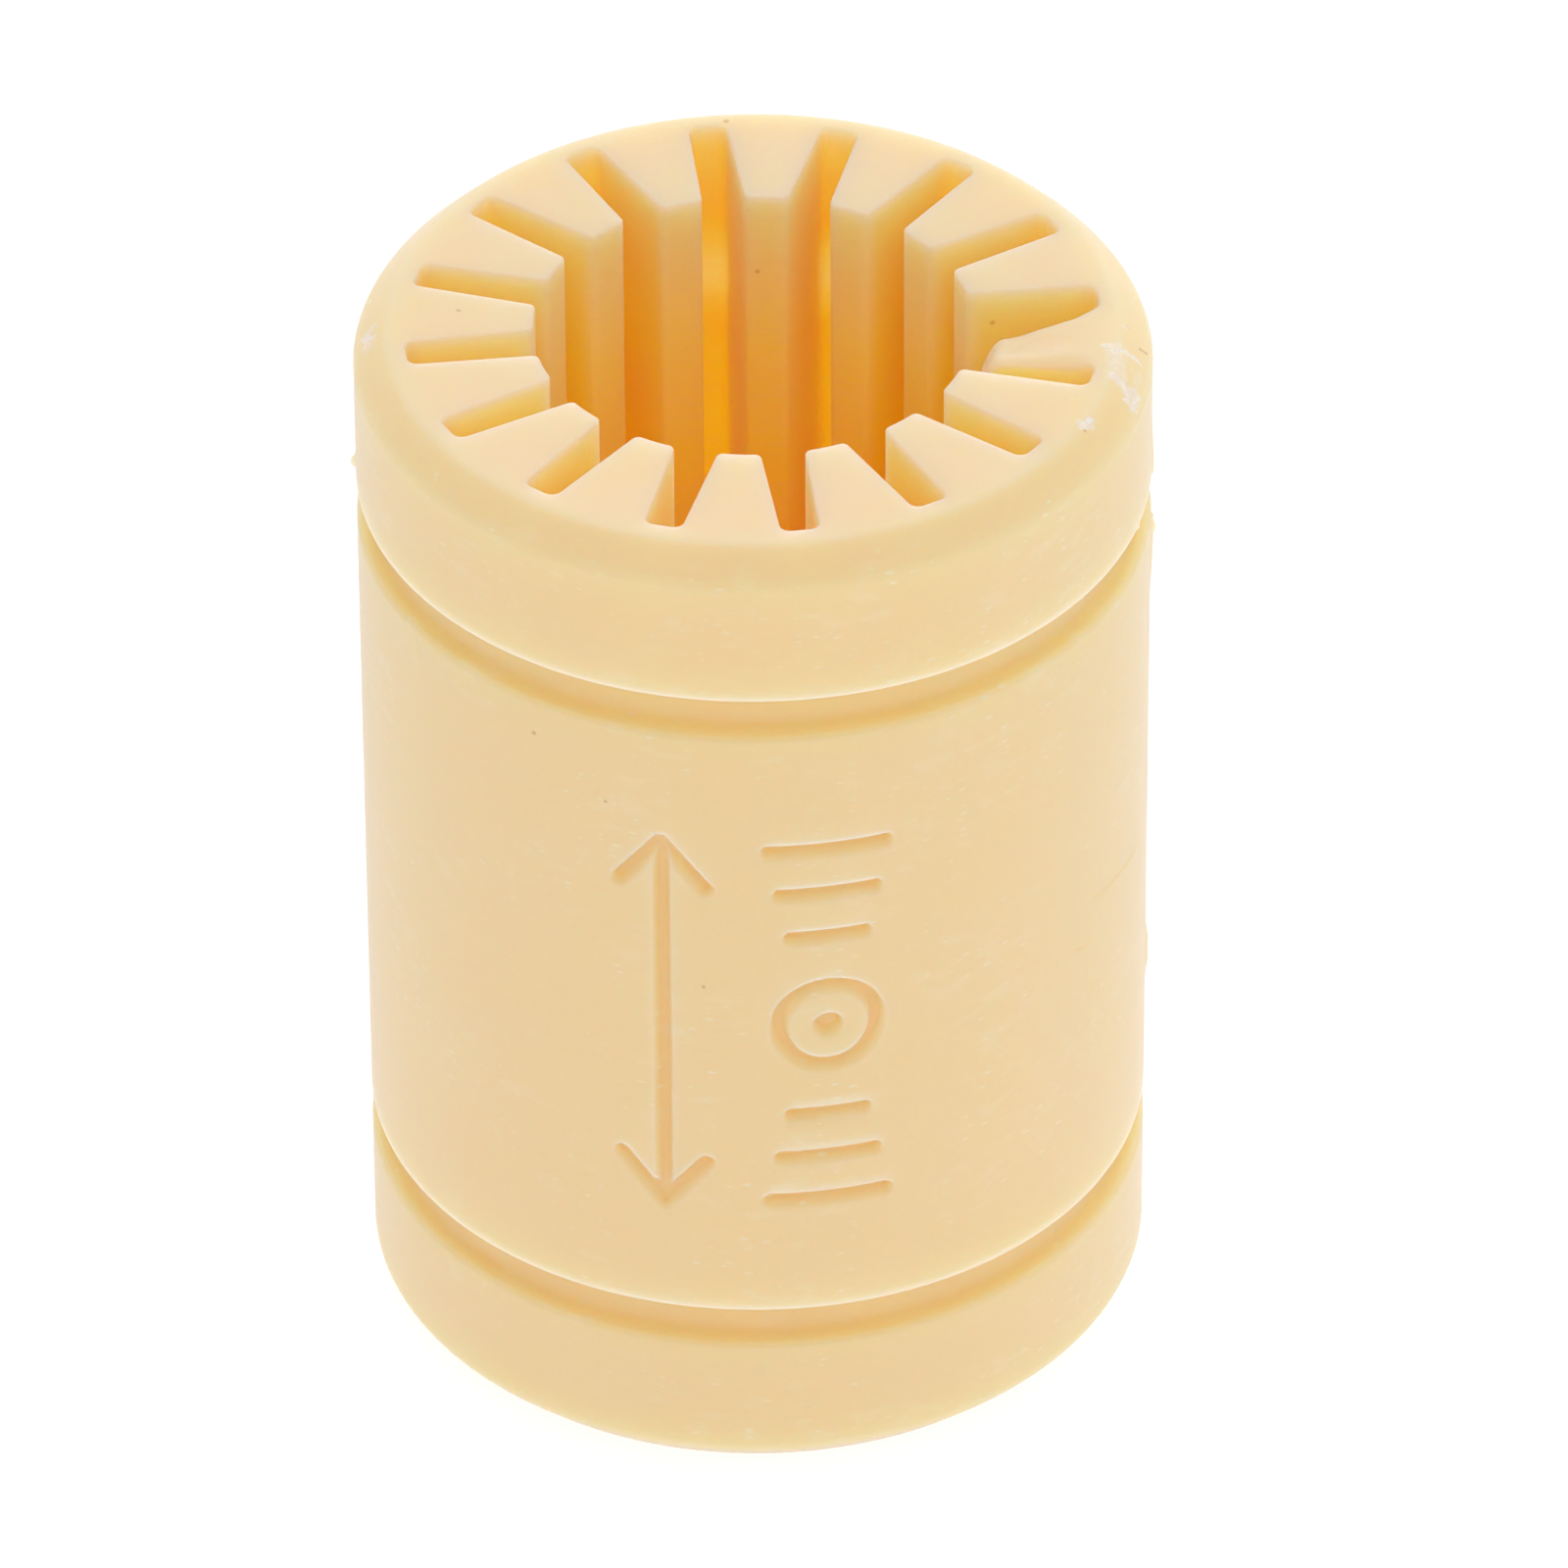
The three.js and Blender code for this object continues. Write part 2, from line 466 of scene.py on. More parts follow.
def scratch_depth(places):
    """How deep the scratches are, from 0 to 1, for places on the outside."""
    depth = np.zeros(len(places))
    for half, path in SCRATCHES:
        depth = np.maximum(depth, 1 - smooth(0, half, to_scratch(places, path)))
    return depth


def groove_shade_share(places):
    """Where painted shade goes in the grooves: 1 at their height, and 0 past their lips."""
    z = places[:, 2]
    share = np.zeros(len(places))
    for low in GROOVE_LOWS:
        high = low + GROOVE_WIDTH
        above_foot = smooth(low - GROOVE_BLEND, low + GROOVE_BLEND, z)
        share = np.maximum(share, above_foot * smooth(high + CRISP_LIP, high, z))
    return share


def groove_foot_shade(places):
    """Where painted shade goes below the grooves: 1 at their lower lips, fading out below them."""
    z = places[:, 2]
    share = np.zeros(len(places))
    for low in GROOVE_LOWS:
        below_groove = smooth(low + GROOVE_BLEND, low, z)
        share = np.maximum(share, smooth(low - FOOT_SHADE_REACH, low, z) * below_groove)
    return share


def ripple(places, size):
    """Smooth noise from -1 to 1, with waves about as long as size."""
    return np.array([noise.noise(Vector(place) / size) for place in places])


def on_outside(places):
    """Which places are on the straight outside, between the chamfers and clear of the grooves."""
    slack = 0.02
    return polar(places)[0] > RADIUS - slack


def past_short_slots(places):
    """Distance past the middles of the slots beside the short land, negative on the land's side."""
    radius, angle = polar(places)
    return radius * np.sin(np.abs(angle) - math.pi / LANDS)


def on_short_land(places):
    """How far each place belongs to the upper end of the short land, from 0 to 1."""
    radius, _ = polar(places)
    own = 1 - smooth(-SLOT_FLOOR / 2, 0, past_short_slots(places))
    return own * smooth(LENGTH - SHORT_FADE, LENGTH, places[:, 2]) * (radius < SHORT_FROM)


def torn_share(places):
    """How torn the surface is: most on a scar's path, and not at all past its ragged half width."""
    x, y, z = places.T
    longer, shorter = RAGGED_LENGTHS
    ragged = RAGGED * ripple(places, longer) + RAGGED * ripple(places, shorter)
    share = np.zeros(len(places))
    for how_torn, half, path in TORN:
        away = to_path(x, y, path) + ragged
        share = np.maximum(share, how_torn * (1 - smooth(half * 0.5, half, away)))
    return share * smooth(SCAR_LOW, SCAR_HIGH, z)


def flash_height(places):
    """How far the seam flash stands out of the outside."""
    _, angle = polar(places)
    z = places[:, 2]
    height = np.zeros(len(places))
    for at, low, high, proud in FLASH:
        off = RADIUS * np.abs(angle - at) / FLASH_HALF_WIDTH
        slope = (high - low) * FLASH_SLOPE
        ends = smooth(low, low + slope, z) * smooth(high, high - slope, z)
        height += proud * ends * (1 - smooth(0, 1, off))
    return height


def web_share(places):
    """1 in the middle of the web, fading out to its sides and to the walls of the groove."""
    radius, angle = polar(places)
    on_floor = np.abs(radius - GROOVE_RADIUS) < GROOVE_CORNER
    across = 1 - smooth(0, WEB_HALF_WIDTH, radius * np.abs(angle - WEB_ANGLE))
    start, end = (GROOVE_WIDTH * share for share in WEB_ALONG)
    along = 1 - smooth(start, end, np.abs(places[:, 2] - UPPER_GROOVE))
    return across * along * on_floor


def refine(bm, chosen, cuts):
    """Splits every edge of the faces whose middles are chosen."""
    middles = np.array([f.calc_center_median() for f in bm.faces])
    edges = {e for f, wanted in zip(bm.faces, chosen(middles)) if wanted for e in f.edges}
    bmesh.ops.subdivide_edges(bm, edges=list(edges), cuts=cuts, use_grid_fill=True)


def near_fine_detail(places):
    """Which places are near a mark, a scratch, a scar, the seam's flash or the web."""
    radius, angle = polar(places)
    x, y, z = places.T
    slack = 0.1
    outside = radius > RADIUS - slack / 2
    found = outside & (mark_distance(places) < FINE_MARGIN)
    for half, path in SCRATCHES:
        found |= outside & (to_scratch(places, path) < half + FINE_MARGIN / 2)
    for at, low, high, _ in FLASH:
        beside = RADIUS * np.abs(angle - at) < FLASH_HALF_WIDTH + FINE_MARGIN
        found |= outside & beside & (z > low) & (z < high)
    for _, half, path in TORN:
        found |= (to_path(x, y, path) < half + FINE_MARGIN) & (z > LENGTH - CHAMFER - slack)
    beside_web = radius * np.abs(angle - WEB_ANGLE) < WEB_HALF_WIDTH + FINE_MARGIN
    in_groove = (np.abs(z - UPPER_GROOVE) < GROOVE_WIDTH / 2) & (radius > GROOVE_RADIUS - slack)
    return found | (beside_web & in_groove)


def move_radially(places, wanted):
    """Moves places straight out from the axis, or in, to the wanted radii."""
    radius, _ = polar(places)
    places[:, :2] *= (wanted / radius)[:, None]


def shape_outside(places):
    """Brings the outside onto its true round surface, with marks sunk in it and flash standing out.
    Gives back how far each place is sunk, and how far it is on the lip of a mark."""
    radius, _ = polar(places)
    outside = on_outside(places)
    sunk = outside * mark_depth(places)
    lip = outside * mark_lip(places)
    scratched = outside * scratch_depth(places)
    skin_radius = RADIUS - MARK_DEPTH * sunk + MARK_LIP * lip - SCRATCH_DEPTH * scratched
    skin_radius += flash_height(places)
    move_radially(places, np.where(outside, skin_radius, radius + WEB_HEIGHT * web_share(places)))
    return np.maximum(sunk, scratched), lip


def shape_short_land(places):
    """Lowers the upper end of the short land, most of all at its tip."""
    radius, _ = polar(places)
    inward = smooth(SHORT_FROM, SHORT_TO, radius)
    sag = SHORT_SAG * inward
    sag += SHORT_WAVE * ripple(places, SHORT_WAVE_LENGTH) * inward
    sag += SHORT_LEAN * smooth(*SHORT_LEAN_ACROSS, places[:, 1]) * inward
    rounding = smooth(*SHORT_ROUND_ACROSS, past_short_slots(places))
    sag += SHORT_ROUND * (rounding * smooth(SHORT_FROM, SHORT_FROM - SHORT_ROUND_ALONG, radius))
    to_tip = np.maximum(0, SHORT_TIP_FROM - radius) / (SHORT_TIP_FROM - BORE_RADIUS)
    places[:, 2] -= (sag + SHORT_TIP_SAG * to_tip**2) * on_short_land(places)


def shape_scars(places):
    """Sinks the scars a little, with ragged ridges left in them. Gives back how torn each place is."""
    torn = torn_share(places)
    rough = torn > 0
    longer, shorter = (ripple(places[rough], length) for length in TORN_RIDGE_LENGTHS)
    ridge = 1 - 2 * np.abs(longer + TORN_FINE_SHARE * shorter)
    places[rough, 2] += torn[rough] * (TORN_RIDGE * ridge - TORN_SUNK)
    return torn


def plain_sleeve():
    """The closed skin of the sleeve before its relief, finer where the relief will need it."""
    bm = bmesh.new()
    profile = outside_profile()
    outline = opening_outline()
    outside_skin(bm, profile)
    opening_skin(bm, outline)
    end_faces(bm, profile[0][0], outline)
    bmesh.ops.remove_doubles(bm, verts=bm.verts, dist=WELD * 10)
    refine(bm, lambda places: on_short_land(places) > 0.2, LAND_CUTS)
    refine(bm, near_fine_detail, FINE_CUTS)
    bmesh.ops.recalc_face_normals(bm, faces=bm.faces)
    for face in bm.faces:
        face.smooth = True
    return bm


def shape(places):
    """Gives the plain sleeve its relief, and gives back the layers that the material reads."""
    slack = 0.01
    level = np.abs(places[:, 2] - LENGTH / 2) > LENGTH / 2 - END_EDGE - slack
    sunk, lip = shape_outside(places)
    # The sunk layer also takes painted shade below the grooves' lower lips.
    sunk = np.maximum(sunk, FOOT_SHADE_SHARE * groove_foot_shade(places))
    # The groove layer carries the painted shade in the ring grooves.
    shares = {"sunk": sunk, "lip": lip, "level": level, "groove": groove_shade_share(places)}
    shares["torn"] = shape_scars(places)
    shape_short_land(places)
    return shares


def sleeve_mesh():
    bm = plain_sleeve()
    places = np.array([v.co for v in bm.verts])
    shares = shape(places)
    for vert, place in zip(bm.verts, places):
        vert.co = place * MM
    mesh = bpy.data.meshes.new("moulded_sleeve")
    bm.to_mesh(mesh)
    bm.free()
    for name, share in shares.items():
        mesh.attributes.new(name, "FLOAT", "POINT").data.foreach_set("value", share.astype(float))
    return mesh


# ---------- materials ----------

# Colours of the outside: plain, painted shade in the ring grooves and on the chamfers, painted gloss
# on the end faces, and painted shade in the marks and scratches
CREAM = (0.957, 0.722, 0.408, 1)
GROOVE_PAINTED_SHADE = (0.998, 0.742, 0.34, 1)
CHAMFER_PAINTED_SHADE = (0.99, 0.7, 0.41, 1)
END_FACE_PAINTED_GLOSS = (0.95, 0.716, 0.46, 1)
PAINTED_SHADE_AND_CLOUD_CREAM = (0.988, 0.7, 0.345, 1)

# Painted light and shade in the opening: pale painted light at the rim and on its surfaces just
# below the rim, and amber painted shade on them deep down
RIM_PAINTED_LIGHT = (1, 0.82, 0.47, 1)
LAND_PAINTED_LIGHT = (1, 0.85, 0.4, 1)
LAND_PAINTED_SHADE = (1, 0.83, 0.1, 1)
WALL_PAINTED_LIGHT = (1, 0.81, 0.3, 1)
WALL_PAINTED_SHADE = (1, 0.89, 0.02, 1)
FLOOR_PAINTED_LIGHT = (1, 0.7, 0.48, 1)
FLOOR_PAINTED_SHADE = (1, 0.76, 0.3, 1)
FLOOR_DEEP_PAINTED_SHADE = (1, 0.82, 0.16, 1)
FLOOR_PAINTED_GLOW = (1, 0.9, 0.6, 1)

# Where one colour gives way to the next: below the rim, from an end, and from the axis
RIM_DEPTH = 1.1
PAINTED_SHADE_DEPTH = 7.5
CHAMFER_BLEND = (1.1, 0.6)
OPENING_BLEND = (10, 9.7)
WALL_BLEND = (6.2, 6.6)
FLOOR_BLEND = (8.8, 9.55)

# The painted glow on the slots' floors behind a ring groove: how far it is from the groove's middle
# towards the end, and how it fades away from there
PAINTED_GLOW_RISE = 0.4
PAINTED_GLOW_BLEND = (1.8, 0.2)

# Scars, with painted glints in them, and the painted highlight on the raised lips of the marks
TORN_WHITE = (0.98, 0.78, 0.66, 1)
TORN_PAINTED_GLINT = (1, 0.87, 0.76, 1)
TORN_GLINT_SIZE = 0.2
TORN_GLINT_CUT = (0.5, 0.62)
LIP_HIGHLIGHT_SHARE = 0.6

# Skin: light scattered below it, roughness, fine bumps and sheen
SCATTER_REACH = (3.5, 2.5, 1.6)
IOR = 1.48
GRAIN = 0.22
ROUGHNESS = (0.42, 0.58)
BUMP_STRENGTH = 0.35
BUMP_HEIGHT = 0.02
SHEEN = 0.24
SHEEN_TINT = (0.8, 0.74, 1, 1)
SHEEN_ROUGHNESS = 0.35

# Faint clouds of the colour painted as shade in the marks, with streaks round the sleeve
CLOUD_SIZE = 3
CLOUD_CUT = (0.6, 1.1)
CLOUD_SHARE = 0.25
STREAK_LENGTH = 0.9
STREAK_STRETCH = 5.0
STREAK_SHARE = 0.7

# Painted glints on tiny bumps, and faint pale smudges, on the outside in loose clusters. Each cut,
# here and above, is the pair of values between which a noise goes from nothing to its full share.
PAINTED_GLINT_AND_SMUDGE_WHITE = (1, 0.81, 0.56, 1)
FLECK_SPACING = 0.5
FLECK_STRETCH = 2.5
FLECK_CUT = (0.3, 0.6)
FLECK_REACHES = (0.12, 0.42)
FLECK_CORE = 0.08
SMUDGE_SIZE = 1.1
SMUDGE_CUT = (0.5, 0.72)
SMUDGE_SHARE = 0.3
CLUSTER_SIZE = 3.5
CLUSTER_CUT = (0.45, 0.57)
FLECKS_BEYOND = (RADIUS - 0.7, RADIUS - 0.3)

# Dark specks: place and size. Each fades in between two shares of its size, made ragged by a noise.
SPECK_BROWN = (0.55, 0.36, 0.16, 1)
SPECK_SHARE = 0.6
SPECK_GRAIN = 0.1
SPECK_RAGGED = 0.6
SPECK_EDGE = (1.3, 0.6)
SPECKS = (
    ((-1.34, 9.63, 32.0), 0.13),
    ((-8.12, 0.18, 32.0), 0.1),
    ((-0.26, 6.04, 29.45), 0.1),
    ((6.5, 1.85, 30.93), 0.12),
    ((9.33, 0.8, 31.9), 0.1),
    ((8.71, -1.08, 31.4), 0.08),
    ((9.31, -4.27, 31.86), 0.1),
    ((10.65, 0.12, 31.45), 0.1),
    ((10.74, 0.15, 31.36), 0.08),
    ((10.81, 0.17, 31.29), 0.09),
    ((-5.43, -9.57, 24.92), 0.1),
    ((-3.43, -10.45, 23.33), 0.08),
    ((-0.76, -10.97, 17.42), 0.08),
    ((-4.0, -10.2, 31.57), 0.07),
    ((4.05, -9.3, 32.0), 0.06),
)


class Tree:
    """Short calls for building a material's nodes. Places are in the object's own metres."""

    def __init__(self, name):
        self.material = bpy.data.materials.new(name)
        self.material.use_nodes = True
        self.nodes = self.material.node_tree.nodes
        self.links = self.material.node_tree.links
        self.shader = self.nodes["Principled BSDF"]

    def node(self, kind, inputs=None, **settings):
        node = self.nodes.new(kind)
        for key, value in settings.items():
            setattr(node, key, value)
        for key, value in (inputs or {}).items():
            self.feed(node.inputs[key], value)
        return node

    def feed(self, socket, value):
        if isinstance(value, bpy.types.NodeSocket):
            self.links.new(value, socket)
        else:
            socket.default_value = value

    def math(self, operation, *values):
        return self.node("ShaderNodeMath", dict(enumerate(values)), operation=operation).outputs[0]

    def vector(self, operation, *values):
        inputs = dict(enumerate(values))
        return self.node("ShaderNodeVectorMath", inputs, operation=operation).outputs

    def ramp(self, value, start, end):
        """0 at start, 1 at end, and smooth between."""
        inputs = {0: value, 1: start, 2: end}
        return self.node("ShaderNodeMapRange", inputs, interpolation_type="SMOOTHSTEP").outputs[0]

    def ramp_mm(self, value, start, end):
        """The same for a distance, from start to end in millimetres."""
        return self.ramp(value, start * MM, end * MM)

    def spread(self, value, low, high):
        """A 0 to 1 value spread evenly from low to high."""
        return self.node("ShaderNodeMapRange", {0: value, 3: low, 4: high}).outputs[0]

    def mix(self, share, a, b):
        inputs = {0: share, 6: a, 7: b}
        return self.node("ShaderNodeMix", inputs, data_type="RGBA").outputs[2]

    def noise(self, place, size, detail=2):
        """Smooth noise from 0 to 1, with waves about size millimetres long."""
        inputs = {"Vector": place, "Scale": 1 / (size * MM), "Detail": detail}
        return self.node("ShaderNodeTexNoise", inputs).outputs[0]

    def cells(self, place, size):
        """Distance to the middle of the nearest cell, and the cell's own random colour."""
        inputs = {"Vector": place, "Scale": 1 / (size * MM)}
        node = self.node("ShaderNodeTexVoronoi", inputs)
        return node.outputs["Distance"], node.outputs["Color"]

    def share(self, name):
        """One of the mesh's own 0 to 1 layers."""
        return self.node("ShaderNodeAttribute", attribute_name=name).outputs["Fac"]


def from_axis(tree, place):
    return tree.vector("LENGTH", tree.vector("MULTIPLY", place, (1, 1, 0))[0])["Value"]


def body_colour(tree, place):
    """Cream outside, painted shade in the grooves and on the chamfers, painted gloss on the end faces,
    and the opening's painted light and shade within.
    """
    z = tree.node("ShaderNodeSeparateXYZ", {0: place}).outputs["Z"]
    from_end = tree.math("MINIMUM", z, tree.math("SUBTRACT", LENGTH * MM, z))
    out = from_axis(tree, place)
    # Painted shade in the ring grooves.
    outside = tree.mix(tree.share("groove"), CREAM, GROOVE_PAINTED_SHADE)
    # Painted shade on the chamfers, taking back some of the light that falls on them from above.
    outside = tree.mix(tree.ramp_mm(from_end, *CHAMFER_BLEND), outside, CHAMFER_PAINTED_SHADE)
    within = tree.ramp_mm(out, *OPENING_BLEND)
    # The opening's painted light and shade.
    colour = tree.mix(within, outside, opening_painted_light(tree, from_end, out))
    # Painted gloss on the end faces: paler and less saturated than the sides.
    return tree.mix(tree.share("level"), colour, END_FACE_PAINTED_GLOSS)


def opening_painted_light(tree, from_end, out):
    """Painted light, pale at the rim, and painted shade, amber further in, most of all on the slots'
    walls. The slots' floors get a painted glow where a groove outside makes the wall thin."""
    rim = tree.ramp_mm(from_end, 0, RIM_DEPTH)
    deep = tree.ramp_mm(from_end, 0, PAINTED_SHADE_DEPTH)
    land = tree.mix(deep, tree.mix(rim, RIM_PAINTED_LIGHT, LAND_PAINTED_LIGHT), LAND_PAINTED_SHADE)
    wall = tree.mix(deep, tree.mix(rim, RIM_PAINTED_LIGHT, WALL_PAINTED_LIGHT), WALL_PAINTED_SHADE)
    floor = tree.mix(deep, tree.mix(rim, FLOOR_PAINTED_LIGHT, FLOOR_PAINTED_SHADE), FLOOR_DEEP_PAINTED_SHADE)
    glow_from_end = (LENGTH - UPPER_GROOVE - PAINTED_GLOW_RISE) * MM
    off_glow = tree.math("ABSOLUTE", tree.math("SUBTRACT", from_end, glow_from_end))
    # Painted glow on the slots' floors behind the upper ring groove.
    floor = tree.mix(tree.ramp_mm(off_glow, *PAINTED_GLOW_BLEND), floor, FLOOR_PAINTED_GLOW)
    land_or_wall = tree.mix(tree.ramp_mm(out, *WALL_BLEND), land, wall)
    return tree.mix(tree.ramp_mm(out, *FLOOR_BLEND), land_or_wall, floor)


def flecks(tree, place):
    """Painted glints on tiny bumps and faint pale smudges on the outside, in loose clusters drawn
    out round it.
    """
    level = tree.vector("MULTIPLY", place, (1, 1, FLECK_STRETCH))[0]
    away, colour = tree.cells(level, FLECK_SPACING)
    parts = tree.node("ShaderNodeSeparateColor", {0: colour}).outputs
    here = tree.ramp(parts[0], *FLECK_CUT)
    reach = tree.spread(parts[1], *FLECK_REACHES)
    dot = tree.math("MULTIPLY", tree.ramp(away, reach, FLECK_CORE), here)
    smudge = tree.ramp(tree.noise(level, SMUDGE_SIZE), *SMUDGE_CUT)
    marked = tree.math("MAXIMUM", dot, tree.math("MULTIPLY", smudge, SMUDGE_SHARE))
    cluster = tree.ramp(tree.noise(place, CLUSTER_SIZE), *CLUSTER_CUT)
    outside = tree.ramp_mm(from_axis(tree, place), *FLECKS_BEYOND)
    return tree.math("MULTIPLY", marked, tree.math("MULTIPLY", cluster, outside))


def specks(tree, place):
    """Dark specks of dirt with ragged edges, each at its own place."""
    found = 0.0
    ragged = tree.noise(place, SPECK_GRAIN)
    for at, size in SPECKS:
        centre = tuple(MM * c for c in at)
        away = tree.vector("DISTANCE", place, centre)["Value"]
        away = tree.math("ADD", away, tree.math("MULTIPLY", ragged, size * MM * SPECK_RAGGED))
        start, end = (size * MM * share for share in SPECK_EDGE)
        found = tree.math("MAXIMUM", found, tree.ramp(away, start, end))
    return found


def polymer_colour(tree, place, glints_and_smudges, streak):
    """The body's colour with everything that lies on it, from the marks' painted shade to the specks.
    """
    # Painted shade in the sunk marks and scratches, and below the grooves' lower lips.
    colour = tree.mix(tree.share("sunk"), body_colour(tree, place), PAINTED_SHADE_AND_CLOUD_CREAM)
    streaks = tree.math("MULTIPLY", streak, STREAK_SHARE)
    cloud = tree.ramp(tree.math("ADD", tree.noise(place, CLOUD_SIZE), streaks), *CLOUD_CUT)
    colour = tree.mix(tree.math("MULTIPLY", cloud, CLOUD_SHARE), colour, PAINTED_SHADE_AND_CLOUD_CREAM)
    # Painted highlight along the raised lips of the marks.
    colour = tree.mix(tree.math("MULTIPLY", tree.share("lip"), LIP_HIGHLIGHT_SHARE), colour, PAINTED_GLINT_AND_SMUDGE_WHITE)
    # Whitened scars, with painted glints in them.
    torn_glint = tree.ramp(tree.noise(place, TORN_GLINT_SIZE), *TORN_GLINT_CUT)
    colour = tree.mix(tree.share("torn"), colour, tree.mix(torn_glint, TORN_WHITE, TORN_PAINTED_GLINT))
    # Painted glints on tiny bumps, and faint pale smudges.
    colour = tree.mix(glints_and_smudges, colour, PAINTED_GLINT_AND_SMUDGE_WHITE)
    return tree.mix(tree.math("MULTIPLY", specks(tree, place), SPECK_SHARE), colour, SPECK_BROWN)


def polymer():
    """Translucent polymer with a satin skin."""
    tree = Tree("bearing_polymer")
    shader = tree.shader
    place = tree.node("ShaderNodeTexCoord").outputs["Object"]
    glints_and_smudges = flecks(tree, place)
    streak = tree.noise(tree.vector("MULTIPLY", place, (1, 1, STREAK_STRETCH))[0], STREAK_LENGTH)
    grain = tree.noise(place, GRAIN, detail=3)
    height = tree.math("ADD", grain, tree.math("ADD", glints_and_smudges, streak))
    bumps = {"Strength": BUMP_STRENGTH, "Distance": BUMP_HEIGHT * MM, "Height": height}
    tree.feed(shader.inputs["Base Color"], polymer_colour(tree, place, glints_and_smudges, streak))
    tree.feed(shader.inputs["Roughness"], tree.spread(grain, *ROUGHNESS))
    tree.feed(shader.inputs["Normal"], tree.node("ShaderNodeBump", bumps).outputs[0])
    tree.feed(shader.inputs["IOR"], IOR)
    tree.feed(shader.inputs["Sheen Weight"], SHEEN)
    tree.feed(shader.inputs["Sheen Roughness"], SHEEN_ROUGHNESS)
    tree.feed(shader.inputs["Sheen Tint"], SHEEN_TINT)
    tree.feed(shader.inputs["Subsurface Weight"], 1.0)
    tree.feed(shader.inputs["Subsurface Radius"], SCATTER_REACH)
    tree.feed(shader.inputs["Subsurface Scale"], MM)
    return tree.material


def pale_floor(name, paleness, tint, glow):
    tree = Tree(name)
    tree.feed(tree.shader.inputs["Base Color"], (paleness, paleness, paleness, 1))
    tree.feed(tree.shader.inputs["Roughness"], 0.9)
    tree.feed(tree.shader.inputs["Emission Color"], tint)
    tree.feed(tree.shader.inputs["Emission Strength"], glow)
    return tree.material


# ---------- stage ----------

VIEW_AZIMUTH = 3.61
VIEW_ELEVATION = 37.45
VIEW_ROLL = -0.29
VIEW_DISTANCE = 424.1
VIEW_LENS = 346.5
AIM_RIGHT = 0.79
AIM_UP = 0.06

# Floor: a disc under the bore with a painted orange glow for light come through the polymer, a pale
# ring under the walls, and a ring all round that glows white. It lies a hair below the sleeve.
UNDER_BORE = 6.0
FOOTPRINT = 10.0
FLOOR_REACH = 800.0
FLOOR_GAP = 0.02
FLOOR_GLOW = 0.79
UNDER_BORE_PAINTED_GLOW_TINT = (1, 0.5, 0.06, 1)
UNDER_BORE_PAINTED_GLOW = 0.55

# Studio: the surroundings brighten from the camera's side to the far side
NEAR_GLOW = 0.235
FAR_GLOW = 1.0
SOFTBOX_SIZE = 0.35
BOUNCES = 48
BEHIND_PLACE = (0.06, 0.4, 0.05)
BEHIND_WATTS = 0.65
FILL_PLACE = (0.07, -0.3, 0.4)
FILL_WATTS = 0.56
OVERHEAD_PLACE = (0, 0.15, 0.47)
OVERHEAD_WATTS = 0.33


def camera():
    azimuth = math.radians(VIEW_AZIMUTH)
    elevation = math.radians(VIEW_ELEVATION)
    right = Vector((math.cos(azimuth), math.sin(azimuth), 0))
    back = Vector((
        math.sin(azimuth) * math.cos(elevation),
        -math.cos(azimuth) * math.cos(elevation),
        math.sin(elevation),
    ))
    up = back.cross(right)
    axes = Matrix((right, up, back)).transposed() @ Matrix.Rotation(math.radians(VIEW_ROLL), 3, "Z")
    aim = Vector((0, 0, LENGTH / 2)) + AIM_RIGHT * axes.col[0] + AIM_UP * axes.col[1]
    data = bpy.data.cameras.new("camera")
    data.sensor_width = 36
    data.lens = VIEW_LENS
    data.clip_start = 0.01
    data.clip_end = 10
    eye = bpy.data.objects.new("camera", data)
    eye.matrix_world = Matrix.Translation((aim + VIEW_DISTANCE * back) * MM) @ axes.to_4x4()
    bpy.context.scene.collection.objects.link(eye)
    bpy.context.scene.camera = eye


def softbox(name, place, watts, mirrored=False):
    """A square light aimed at the sleeve. Only a mirrored one shows as gloss."""
    data = bpy.data.lights.new(name, "AREA")
    data.shape = "SQUARE"
    data.size = SOFTBOX_SIZE
    data.energy = watts
    lamp = bpy.data.objects.new(name, data)
    lamp.visible_camera = False
    lamp.visible_glossy = mirrored
    place = Vector(place)
    facing = (Vector((0, 0, LENGTH / 2 * MM)) - place).to_track_quat("-Z", "Y")
    lamp.matrix_world = Matrix.Translation(place) @ facing.to_matrix().to_4x4()
    bpy.context.scene.collection.objects.link(lamp)


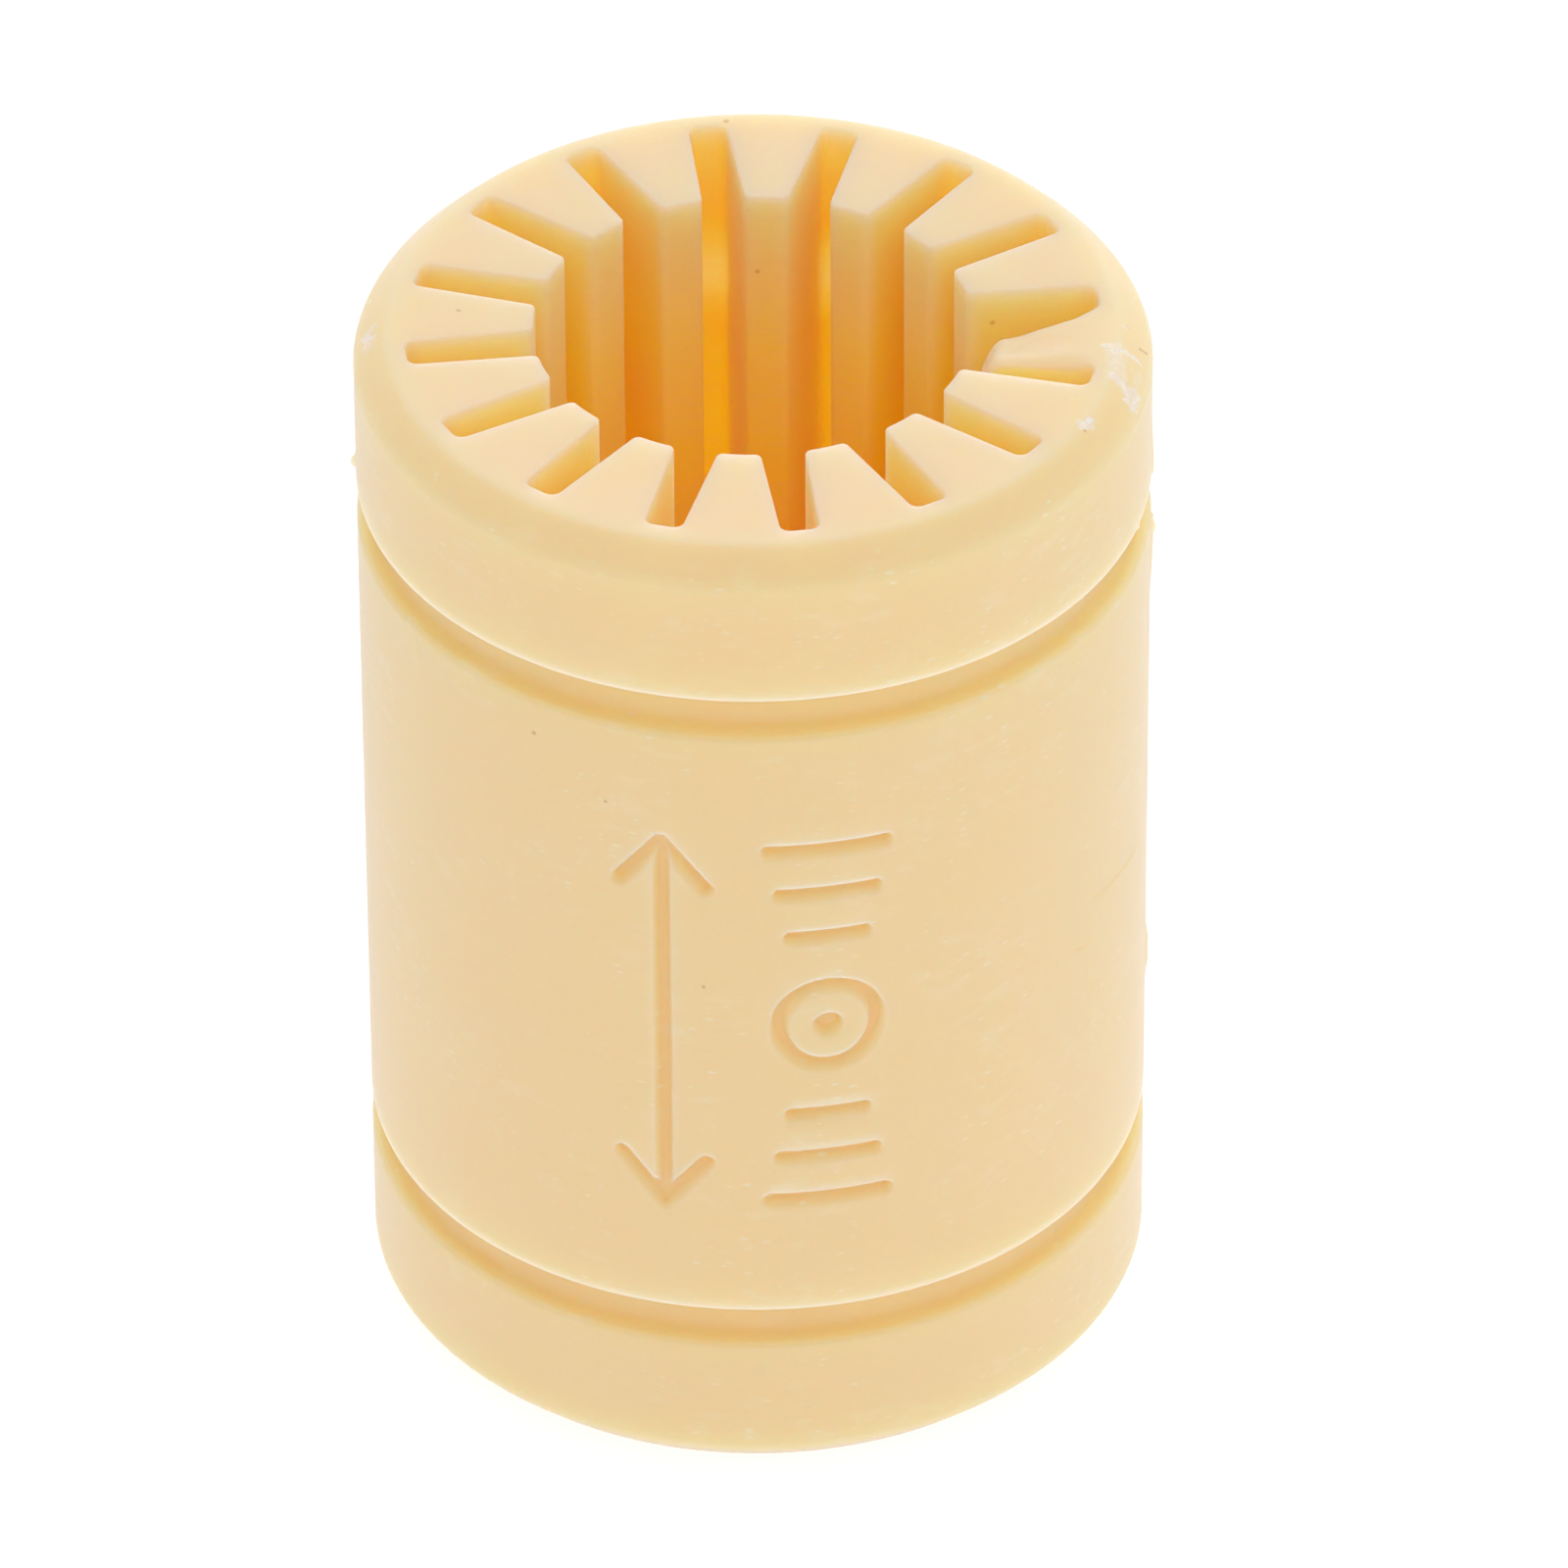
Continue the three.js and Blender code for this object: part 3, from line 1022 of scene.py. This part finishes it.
def surroundings():
    world = bpy.data.worlds.new("studio")
    world.use_nodes = True
    nodes = world.node_tree.nodes
    links = world.node_tree.links
    direction = nodes.new("ShaderNodeTexCoord")
    axes = nodes.new("ShaderNodeSeparateXYZ")
    glow = nodes.new("ShaderNodeMapRange")
    glow.inputs["From Min"].default_value = -1
    glow.inputs["To Min"].default_value = NEAR_GLOW
    glow.inputs["To Max"].default_value = FAR_GLOW
    links.new(direction.outputs["Generated"], axes.inputs[0])
    links.new(axes.outputs["Y"], glow.inputs["Value"])
    links.new(glow.outputs[0], nodes["Background"].inputs["Strength"])
    nodes["Background"].inputs["Color"].default_value = (1, 1, 1, 1)
    bpy.context.scene.world = world


def floor_rings(radii):
    """A flat disc, and rings round it, as vertices, edges and faces."""
    count = 48
    turns = [2 * math.pi * i / count for i in range(count)]
    places = [(r * math.cos(a), r * math.sin(a), 0) for r in radii for a in turns]
    faces = [tuple(range(count))]
    for start in range(0, count * (len(radii) - 1), count):
        for i in range(count):
            j = (i + 1) % count
            faces.append((start + i, start + j, start + count + j, start + count + i))
    return places, [], faces


def pale_stage():
    mesh = bpy.data.meshes.new("floor")
    radii = [radius * MM for radius in (UNDER_BORE, FOOTPRINT, FLOOR_REACH)]
    mesh.from_pydata(*floor_rings(radii))
    # The disc under the bore has a painted orange glow.
    mesh.materials.append(pale_floor("floor_under_bore_painted_glow", 0.95, UNDER_BORE_PAINTED_GLOW_TINT, UNDER_BORE_PAINTED_GLOW))
    mesh.materials.append(pale_floor("floor_under_sleeve", 0.95, UNDER_BORE_PAINTED_GLOW_TINT, 0))
    mesh.materials.append(pale_floor("floor_around", 0.35, (1, 1, 1, 1), FLOOR_GLOW))
    for face in mesh.polygons:
        face.material_index = sum(face.center.length > radius for radius in radii)
    floor = bpy.data.objects.new("floor", mesh)
    floor.location.z = -FLOOR_GAP * MM
    bpy.context.scene.collection.objects.link(floor)


def light():
    surroundings()
    softbox("behind", BEHIND_PLACE, BEHIND_WATTS)
    softbox("fill", FILL_PLACE, FILL_WATTS)
    softbox("overhead", OVERHEAD_PLACE, OVERHEAD_WATTS, mirrored=True)
    bpy.context.scene.view_settings.view_transform = "Standard"
    # The bore glows with light that has been reflected many times.
    bpy.context.scene.cycles.max_bounces = BOUNCES
    bpy.context.scene.cycles.diffuse_bounces = BOUNCES


def sleeve():
    piece = bpy.data.objects.new("moulded_sleeve", sleeve_mesh())
    piece.data.materials.append(polymer())
    bpy.context.scene.collection.objects.link(piece)
    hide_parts(SLEEVE)
    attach(piece, "root")


camera()
sleeve()
pale_stage()
light()
